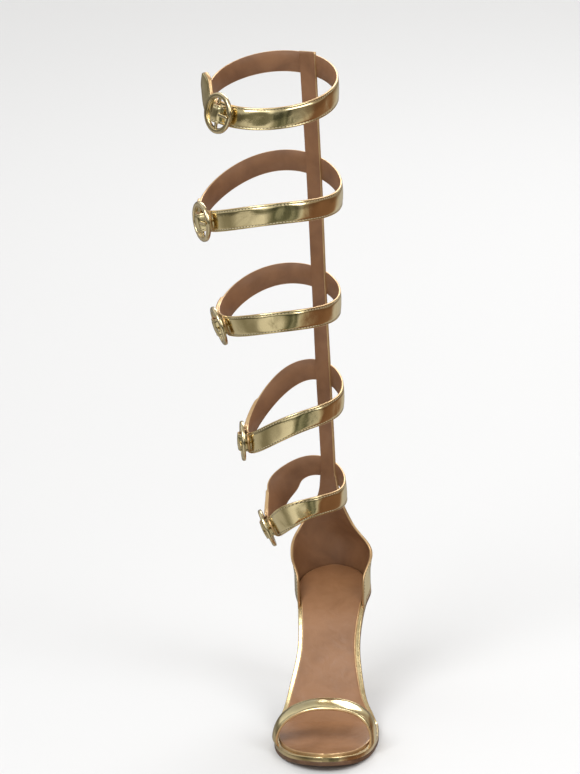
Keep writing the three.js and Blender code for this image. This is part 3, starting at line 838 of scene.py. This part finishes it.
STRAP_LOOKS = [GOLD, GOLD_EDGE, LINING, SEAM_PAINTED_SHADE]
# Columns of the seam grooves, which take the darker gold of painted shade
SEAM_SHADE_COLUMNS = (3, 4, STRAP_FACE - 6, STRAP_FACE - 5)


def strap_column(i):
    """Gold over the face, a darker gold of painted shade in the seam grooves, a bright cut edge at both
    sides and lining inside.
    """
    if i in SEAM_SHADE_COLUMNS:
        return 3
    if 1 <= i < STRAP_FACE - 2:
        return 0
    return 2 if STRAP_FACE <= i <= STRAP_FACE + 2 else 1


def strap_hoop(strap, number):
    waves = ((0.1, 23, 0.37 * number), (0.04, 11, 0.2))
    creases = CREASES[number] + [REAR_CREASES[number]]
    millimetres = math.radians(strap_run(strap))
    rings = []
    for turn in round_turns(240):
        ring = []
        for up, out in strap_section(STRAP_WIDTH / 2, 0, STRAP_WALL):
            swell = 0
            if out > STRAP_WALL / 2:
                place = math.degrees(turn) + CREASE_SLANT * up / millimetres
                swell = crease_height(creases, place, millimetres) + wave(place * millimetres, *waves)
            ring.append(across_strap(strap, turn, up, out + swell * math.cos(up / STRAP_WIDTH * math.pi)))
        rings.append(ring)
    name = "leg_strap_%d" % number
    rings_piece(name, rings, True, STRAP_LOOKS, ["upper"], strap_column)


# The free end passes over the bar: along the strap from the bar, share of the rise
TAIL_PASS = 10.5
TAIL_PINCH = 0.86
TAIL_PINCH_FROM = 7
TAIL_RISE = [
    (-TAIL_PASS, 0),
    (-8.5, 0.03),
    (-7.2, 0.14),
    (-5.7, 0.5),
    (-4.2, 0.85),
    (-2.6, 1),
    (0, 1.02),
    (2.6, 1),
    (4.2, 0.64),
    (5.6, 0.27),
    (7, 0.05),
    (8.5, 0),
    (TAIL_PASS, 0),
]


def tail_stations(strap):
    """Along, up, heading, inside height, half width and sink of the free end, close together."""
    _, down_axis, out_axis = buckle_axes(strap)
    level = on_strap(strap, 0, 0, 1) - on_strap(strap, 0, 0, 0)
    over = (bar_height(strap) + BAR_WIDTH / 2 + 2 * CLEARANCE) / level.dot(out_axis)
    low = STRAP_WALL - TAIL_BOND
    rise = curve_through(*zip(*TAIL_RISE))
    half = STRAP_WIDTH / 2 - 0.3
    bent = math.radians(strap[5])
    stations = []
    for along in spread(-TAIL_PASS, TAIL_PASS, 50):
        start = TAIL_BOND if along < 0 else low
        pinch = mix(TAIL_PINCH, 1, smooth(abs(along), TAIL_PINCH_FROM, TAIL_PASS))
        sink = -rise(along) * level.dot(down_axis)
        stations.append((along, 0, 0, mix(start, over, rise(along)), half * pinch, sink))
    length = TAIL_LENGTH - TAIL_PASS
    count = 45
    along, up = TAIL_PASS, 0
    for k in range(1, count + 1):
        share = k / count
        heading = bent * min(1, share * 2)
        along += length / count * math.cos(heading)
        up += length / count * math.sin(heading)
        tip = max(0, (share - TAIL_TIP_FROM) / (1 - TAIL_TIP_FROM))
        taper = 1 - (1 - TAIL_TIP_WIDTH) * tip**1.6
        stations.append((along, up, heading, low, half * taper, 0))
    return stations


def on_tail(strap, station, side, out):
    """A point across the free end, which leaves the leg on a tangent where it is bent upwards."""
    along, up, heading = station[:3]
    place = along - side * math.sin(heading)
    lift = TAIL_LIFT * max(0, place - TAIL_PASS) ** 2 if strap[5] > 0 else 0
    return on_strap(strap, place, up + side * math.cos(heading) - station[5] * out, out + lift)


def strap_tail(strap, number):
    rings = []
    for station in tail_stations(strap):
        along, _, _, inside, half, _ = station
        outside = max(inside + STRAP_WALL, 0 if along < 0 else 2 * STRAP_WALL)
        section = strap_section(half, inside, outside)
        rings.append([on_tail(strap, station, side, out) for side, out in section])
    name = "strap_end_%d" % number
    rings_piece(name, rings, False, STRAP_LOOKS, ["upper"], strap_column)


# Stitches: short rounded threads that lie between two places on a surface, with a dark patch of painted
# shade for the needle hole between them
STITCH_PITCH = 2.7
STITCH_LENGTH = 1.9
STITCH_SIDES = 6
STITCH_ROUND = [(0, 0.35), (0.2, 1), (0.8, 1), (1, 0.35)]
# The dark patch between two threads paints the shade of a needle hole; its rounding and size follow
HOLE_SHADE_ROUND = [(0, 1), (1, 1)]
THREAD_SIZE = (0.3, 0.24)  # half width and half height
HOLE_SHADE_SIZE = (0.42, 0.12)
THREAD_RISE = 0.08  # height of the threads' middle over the bottom of the seam
SEAM_END = 3  # unsewn length at the end of a seam


class Stitches:
    """Threads and dark patches of painted shade for the needle holes, gathered in one piece."""

    def __init__(self):
        self.points = []
        self.faces = []
        self.looks = []

    def add(self, start, end, out, size, rounding, look):
        side = (end - start).normalized().cross(out).normalized()
        base = len(self.points)
        for share, scale in rounding:
            centre = start.lerp(end, share)
            for turn in round_turns(STITCH_SIDES):
                across = side * (size[0] * scale * math.cos(turn))
                self.points.append(centre + across + out * (size[1] * scale * math.sin(turn)))
        faces = tube_faces(len(rounding), STITCH_SIDES, False)
        self.faces += [tuple(base + k for k in face) for face in faces]
        self.looks += [look] * len(faces)

    def make(self, name, slot, replaces):
        pick = self.looks.__getitem__
        make_piece(name, self.points, self.faces, [THREAD, NEEDLE_HOLE_SHADE], replaces, pick)


def seam_stitches(place, length, stitches):
    """Stitches along a line: place gives a point and the outward direction at a distance along it."""
    for k in range(int(length / STITCH_PITCH)):
        start, out = place(k * STITCH_PITCH)
        end, _ = place(k * STITCH_PITCH + STITCH_LENGTH)
        after, _ = place((k + 1) * STITCH_PITCH)
        stitches.add(start, end, out, THREAD_SIZE, STITCH_ROUND, 0)
        # The dark patch between two threads is painted shade of the needle hole
        stitches.add(end, after, out, HOLE_SHADE_SIZE, HOLE_SHADE_ROUND, 1)


def hoop_stitches(strap, stitches):
    turns = spread(0, 2 * math.pi, 360)
    lengths = running_lengths([across_strap(strap, t, 0, STRAP_WALL) for t in turns])
    turn_at = curve_through(lengths, turns)
    for side in (-1, 1):
        up = side * (STRAP_WIDTH / 2 - SEAM)

        def place(distance):
            turn = turn_at(distance)
            low = Vector(across_strap(strap, turn, up, STRAP_WALL - SEAM_DEPTH + THREAD_RISE))
            high = Vector(across_strap(strap, turn, up, STRAP_WALL + 1))
            return low, (high - low).normalized()

        seam_stitches(place, lengths[-1], stitches)


def tail_stitches(strap, stitches):
    rows = [row for row in tail_stations(strap) if row[0] > -10]
    lengths = running_lengths([row[:2] for row in rows])
    reads = [curve_through(lengths, column) for column in zip(*rows)]
    for side in (-1, 1):

        def place(run):
            station = [read(run) for read in reads]
            along, _, _, inside, half, _ = station
            outside = max(inside + STRAP_WALL, 0 if along < 0 else 2 * STRAP_WALL)
            low = on_tail(strap, station, side * (half - SEAM), outside - SEAM_DEPTH + THREAD_RISE)
            high = on_tail(strap, station, side * (half - SEAM), outside + 1)
            return low, (high - low).normalized()

        seam_stitches(place, lengths[-1] - SEAM_END, stitches)


# Buckles
def buckle_matrix(strap, height):
    along, down, out = buckle_axes(strap)
    matrix = Matrix((along, down, out)).transposed().to_4x4()
    matrix.translation = on_strap(strap, 0, 0, 0) + out * height
    return matrix


# Section of a buckle's ring: distance from the bore, height
RIM_SECTION = [
    (-0.15, 0.25),
    (-0.15, 1.5),
    (-0.05, 1.7),
    (0.45, 1.75),
    (0.6, 1.9),
    (0.65, 2.6),
    (0.85, 2.9),
    (1.15, 3.0),
    (3.1, 3.0),
    (3.6, 2.8),
    (4.05, 2.3),
    (4.25, 1.7),
    (4.25, 0.6),
    (3.95, 0.1),
    (3.6, 0.0),
    (0.25, 0.0),
]


def rod(start, end, radius):
    """Rings of a straight rod with softened ends."""
    axis = (end - start).normalized()
    side = axis.orthogonal().normalized()
    other = axis.cross(side)
    rings = []
    for share, size in ((0, 0.6), (0.02, 1), (0.98, 1), (1, 0.6)):
        centre = start.lerp(end, share)
        spokes = [side * math.cos(t) + other * math.sin(t) for t in round_turns(20)]
        rings.append([centre + spoke * (radius * size) for spoke in spokes])
    return rings


def buckle_piece(strap, number):
    parts = Parts(buckle_matrix(strap, buckle_seat(strap)))
    ring = [(BORE + past, height) for past, height in RIM_SECTION]
    parts.add([[(r * math.cos(t), r * math.sin(t), z) for r, z in ring] for t in round_turns(96)], True)
    middle = BUCKLE_THICKNESS / 2
    ends = [Vector((0, side * (BORE + 1), middle)) for side in (-1, 1)]
    parts.add(rod(*ends, BAR_WIDTH / 2), False)
    parts.make("buckle_%d" % number, 32)


BLADE_SQUARE = 0.6  # below 1 the section of a prong is squarer than an ellipse
BLADE_TIP_FROM = 0.86


def prong_piece(strap, number):
    parts = Parts(buckle_matrix(strap, bar_height(strap)))
    bore = BAR_WIDTH / 2 + CLEARANCE
    lift = BUCKLE_THICKNESS / 2 + CLEARANCE
    tip = BUCKLE_WIDTH / 2 - BUCKLE_BAND / 2 + PRONG_OVERHANG
    half = PRONG_WIDTH / 2
    wide = bore + PRONG_EYE
    bevel = 0.2
    eye = [(bore, -half), (wide - bevel, -half), (wide, bevel - half)]
    eye += [(r, -w) for r, w in reversed(eye)]
    parts.add([[(r * math.cos(t), w, r * math.sin(t)) for r, w in eye] for t in round_turns(36)], True)
    blade = []
    for share in spread(0, 1, 14):
        x = mix(-0.6, -tip, share)
        centre = lift + mix(0.55, 0.42, share) * PRONG_THICKNESS
        past = max(0, share - BLADE_TIP_FROM) / (1 - BLADE_TIP_FROM)
        round_off = math.sqrt(max(0.05, 1 - past**2))
        thick = mix(0.5, 0.36, share) * PRONG_THICKNESS * round_off
        wide_half = mix(1, 0.72, share) * half * round_off
        ring = []
        for turn in round_turns(16, 0.5):
            side = wide_half * signed_power(math.cos(turn), BLADE_SQUARE)
            ring.append((x, side, centre + thick * signed_power(math.sin(turn), BLADE_SQUARE)))
        blade.append(ring)
    parts.add(blade, False)
    parts.make("prong_%d" % number, 40)


# Toe strap, whose arch is a squared ellipse
TOE_SQUARE = 0.9
TOE_WAIST = 0.25  # height of the widest place of the arch, share of its full height
TOE_UNDERCUT = 0.3  # how far the arch reaches below it
TOE_TUCK = math.radians(15.5)
TOE_STRAP_LINE = 150  # length of the strap over the toes
TOE_PUFF = 0.4


def on_toe_strap(turn, across, out):
    """A point on the arch over the toes: out is measured inwards from its outer face."""
    turned = math.radians(TOE_STRAP_TURN)
    high = math.sin(turn)
    lean = math.radians(TOE_STRAP_TILT) * max(0, high)
    y = TOE_STRAP_PLACE - BALL_WIDTH / 2 * math.cos(turn) * math.sin(turned) + across * math.cos(lean)
    inner, outer = sole_edges((y + TOE_REACH) / PLAN_LENGTH, 0)
    half = (inner - outer) / 2 + TOE_STRAP_OVERHANG - out
    rise = TOE_STRAP_HEIGHT * (1 - TOE_WAIST if high > 0 else TOE_UNDERCUT) - out
    bowed = half * signed_power(math.cos(turn), TOE_SQUARE)
    x = (inner + outer) / 2 + bowed + TOE_STRAP_SKEW * max(0, high)
    z = TOE_STRAP_HEIGHT * TOE_WAIST + rise * signed_power(high, TOE_SQUARE) + across * math.sin(lean)
    return Vector((x, y, z))


def toe_strap_piece():
    rings = []
    for along in spread(0, 1, 150):
        turn = mix(-TOE_TUCK, math.pi + TOE_TUCK, along)
        ring = []
        for across, out in strap_section(TOE_STRAP_WIDTH / 2, 0, STRAP_WALL):
            swell = 0
            if out > STRAP_WALL / 2:
                share = along + CREASE_SLANT * across / TOE_STRAP_LINE
                swell = TOE_PUFF + crease_height(TOE_CREASES, share, TOE_STRAP_LINE)
            bulge = swell * math.cos(across / TOE_STRAP_WIDTH * math.pi)
            place = on_toe_strap(turn, across, STRAP_WALL - out - bulge)
            foot = over_sole(0, place.y, SOLE_STACK + HAIRLINE)[2]
            ring.append((place.x, place.y, max(place.z, foot)))
        rings.append(ring)
    rings_piece("toe_strap", rings, False, STRAP_LOOKS, ["toe_strap"], strap_column)


def toe_stitches(stitches):
    turns = spread(-TOE_TUCK, math.pi + TOE_TUCK, 200)
    for side in (-1, 1):
        across = side * (TOE_STRAP_WIDTH / 2 - SEAM)
        lengths = running_lengths([on_toe_strap(t, across, 0) for t in turns])
        turn_at = curve_through(lengths, turns)

        def place(distance):
            turn = turn_at(distance)
            low = on_toe_strap(turn, across, SEAM_DEPTH - THREAD_RISE)
            high = on_toe_strap(turn, across, -1)
            return low, (high - low).normalized()

        seam_stitches(place, lengths[-1] - SEAM_END, stitches)


BACK_SEAM = 1.2 * SEAM
BACK_THREAD_RISE = 0.02


def back_stitches(stitches):
    """A seam along both edges of the counter and spine."""
    levels = spread(seat_top - 10, SHAFT_HEIGHT - 3, 400)
    for side in (-1, 1):
        turns = []
        for z in levels:
            middle, half = back_turns(z)
            turns.append(middle + side * (half - BACK_SEAM / form_width(z)))
        under = WALL - BACK_THREAD_RISE
        lengths = running_lengths([on_counter(turn, z, under) for turn, z in zip(turns, levels)])
        turn_at = curve_through(lengths, turns)
        height_at = curve_through(lengths, levels)

        def place(distance):
            turn, z = turn_at(distance), height_at(distance)
            low = Vector(on_counter(turn, z, WALL + BACK_THREAD_RISE))
            high = Vector(on_counter(turn, z, WALL + 1))
            return low, (high - low).normalized()

        seam_stitches(place, lengths[-1] - SEAM_END, stitches)


back_piece()
upper_stitches = Stitches()
back_stitches(upper_stitches)
for index, leg_strap in enumerate(LEG_STRAPS, 1):
    strap_hoop(leg_strap, index)
    strap_tail(leg_strap, index)
    buckle_piece(leg_strap, index)
    prong_piece(leg_strap, index)
    hoop_stitches(leg_strap, upper_stitches)
    tail_stitches(leg_strap, upper_stitches)
upper_stitches.make("upper_stitching", "gold_leather", ["upper"])
toe_strap_piece()
strap_stitches = Stitches()
toe_stitches(strap_stitches)
strap_stitches.make("toe_strap_stitching", "gold_leather", ["toe_strap"])


# Floor, light and camera
def floor():
    mesh = bpy.data.meshes.new("floor")
    reach = 12
    corners = [(x * reach, y * reach, 0) for x, y in ((-1, -1), (1, -1), (1, 1), (-1, 1))]
    mesh.from_pydata(corners, [], [(0, 1, 2, 3)])
    made = bpy.data.objects.new("floor", mesh)
    bpy.context.scene.collection.objects.link(made)
    material, _, shader = new_material("pale_floor")
    shader.inputs["Base Color"].default_value = (0.745, 0.75, 0.765, 1)
    shader.inputs["Roughness"].default_value = 0.6
    mesh.materials.append(material)
    made.visible_glossy = False


BACKDROP = (0.92, 0.92, 0.92, 1)
ROOM_LIGHT = 0.8

# The room that the gold reflects: azimuth in degrees from the front towards the inner side, with the
# colour seen low down, level with the horizon and high up
ROOM = [
    (-180, (0.55, 0.53, 0.5), (0.3, 0.29, 0.27), (0.9, 0.9, 0.9)),
    (-150, (0.32, 0.3, 0.26), (0.15, 0.14, 0.12), (0.6, 0.6, 0.58)),
    (-118, (0.7, 0.68, 0.64), (0.35, 0.34, 0.31), (1.1, 1.1, 1.08)),
    (-95, (0.62, 0.6, 0.55), (0.22, 0.21, 0.18), (1.1, 1.1, 1.08)),
    (-72, (0.3, 0.28, 0.22), (0.1, 0.1, 0.08), (0.5, 0.5, 0.46)),
    (-50, (0.5, 0.48, 0.42), (0.14, 0.13, 0.1), (0.9, 0.9, 0.87)),
    (-30, (1.0, 0.98, 0.93), (0.2, 0.2, 0.15), (1.5, 1.5, 1.45)),
    (-4, (1.15, 1.13, 1.08), (0.3, 0.3, 0.24), (1.6, 1.6, 1.55)),
    (10, (0.42, 0.41, 0.33), (0.1, 0.11, 0.08), (0.9, 0.9, 0.86)),
    (24, (0.09, 0.1, 0.065), (0.04, 0.045, 0.03), (0.3, 0.3, 0.26)),
    (33, (0.45, 0.46, 0.38), (0.2, 0.21, 0.16), (0.8, 0.8, 0.75)),
    (42, (0.1, 0.11, 0.07), (0.04, 0.045, 0.03), (0.3, 0.3, 0.26)),
    (54, (0.85, 0.83, 0.76), (0.4, 0.38, 0.34), (1.4, 1.4, 1.36)),
    (64, (0.6, 0.5, 0.4), (0.26, 0.2, 0.15), (0.9, 0.86, 0.8)),
    (78, (0.25, 0.125, 0.075), (0.19, 0.095, 0.055), (0.5, 0.42, 0.36)),
    (125, (0.34, 0.19, 0.12), (0.25, 0.14, 0.085), (0.55, 0.48, 0.42)),
    (145, (0.75, 0.7, 0.64), (0.4, 0.34, 0.28), (0.85, 0.84, 0.8)),
    (180, (0.55, 0.53, 0.5), (0.3, 0.29, 0.27), (0.9, 0.9, 0.9)),
]

# Between the bands of the room: degrees above the horizon at which the next one starts and is full
BAND_BOUNDS = [(-10, -5), (8, 18)]


def studio():
    """The room's light, with a plain pale backdrop for the camera alone."""
    world = bpy.data.worlds.new("studio")
    bpy.context.scene.world = world
    world.use_nodes = True
    tree = world.node_tree
    background = tree.nodes["Background"]
    place = add_node(tree, "ShaderNodeTexCoord")
    parts = add_node(tree, "ShaderNodeSeparateXYZ")
    tree.links.new(place.outputs["Generated"], parts.inputs["Vector"])
    away = add_node(tree, "ShaderNodeMath", operation="MULTIPLY")
    away.inputs[1].default_value = -1
    tree.links.new(parts.outputs["Y"], away.inputs[0])
    angle = add_node(tree, "ShaderNodeMath", operation="ARCTAN2")
    tree.links.new(parts.outputs["X"], angle.inputs[0])
    tree.links.new(away.outputs[0], angle.inputs[1])
    share = add_node(tree, "ShaderNodeMapRange")
    share.inputs["From Min"].default_value = -math.pi
    share.inputs["From Max"].default_value = math.pi
    tree.links.new(angle.outputs[0], share.inputs["Value"])
    bands = [
        ramp(tree, share.outputs[0], [((row[0] + 180) / 360, row[k]) for row in ROOM]) for k in (1, 2, 3)
    ]
    height = add_node(tree, "ShaderNodeMapRange")
    height.inputs["From Min"].default_value = -1
    tree.links.new(parts.outputs["Z"], height.inputs["Value"])
    seen = bands[0]
    for band, bounds in zip(bands[1:], BAND_BOUNDS):
        stops = [((1 + math.sin(math.radians(a))) / 2, value) for a, value in zip(bounds, (0.0, 1.0))]
        seen = blend_colours(tree, ramp(tree, height.outputs[0], stops), seen, band)
    path = add_node(tree, "ShaderNodeLightPath")
    seen = blend_colours(tree, path.outputs["Is Camera Ray"], seen, BACKDROP)
    tree.links.new(seen, background.inputs["Color"])
    background.inputs["Strength"].default_value = ROOM_LIGHT


def blend_colours(tree, share, first, second):
    made = add_node(tree, "ShaderNodeMix", data_type="RGBA")
    tree.links.new(share, made.inputs[0])
    for socket, colour in ((made.inputs[6], first), (made.inputs[7], second)):
        if isinstance(colour, tuple):
            socket.default_value = colour
        else:
            tree.links.new(colour, socket)
    return made.outputs[2]


def soft_box(name, place, target, size, power):
    data = bpy.data.lights.new(name, "AREA")
    data.shape = "DISK"
    data.size = size
    data.energy = power
    made = bpy.data.objects.new(name, data)
    bpy.context.scene.collection.objects.link(made)
    made.location = place
    made.rotation_euler = (Vector(target) - Vector(place)).to_track_quat("-Z", "Y").to_euler()


def camera():
    data = bpy.data.cameras.new("camera")
    data.sensor_fit = "VERTICAL"
    data.sensor_height = 24
    focal_pixels = 3737
    picture_height = 774
    data.lens = data.sensor_height * focal_pixels / picture_height
    data.clip_end = 60
    made = bpy.data.objects.new("camera", data)
    bpy.context.scene.collection.objects.link(made)
    azimuth, pitch, roll = (math.radians(angle) for angle in (6, 15, 2))
    distance = 2.700
    height = 1.031
    middle = -0.012
    away = Vector((math.sin(azimuth), -math.cos(azimuth), 0))
    made.location = Vector((middle, -TOE_REACH * MM, height)) + distance * away
    ahead = -away * math.cos(pitch) - Vector((0, 0, math.sin(pitch)))
    turned = ahead.to_track_quat("-Z", "Y").to_matrix() @ Matrix.Rotation(-roll, 3, "Z")
    made.rotation_euler = turned.to_euler()
    bpy.context.scene.camera = made


floor()
studio()
soft_box("key", (-1.2, -1.8, 2.6), (0, 0.05, 0.25), 1.6, 38)
soft_box("fill", (1.6, -1.2, 1.8), (0, 0.05, 0.2), 1.4, 18)
soft_box("rear", (0.6, 2.2, 2.2), (0, 0.05, 0.25), 1.6, 20)
soft_box("far_floor", (0, 4.2, 3.6), (0, 3.6, 0), 3, 55)
camera()
bpy.context.scene.view_settings.view_transform = "Standard"
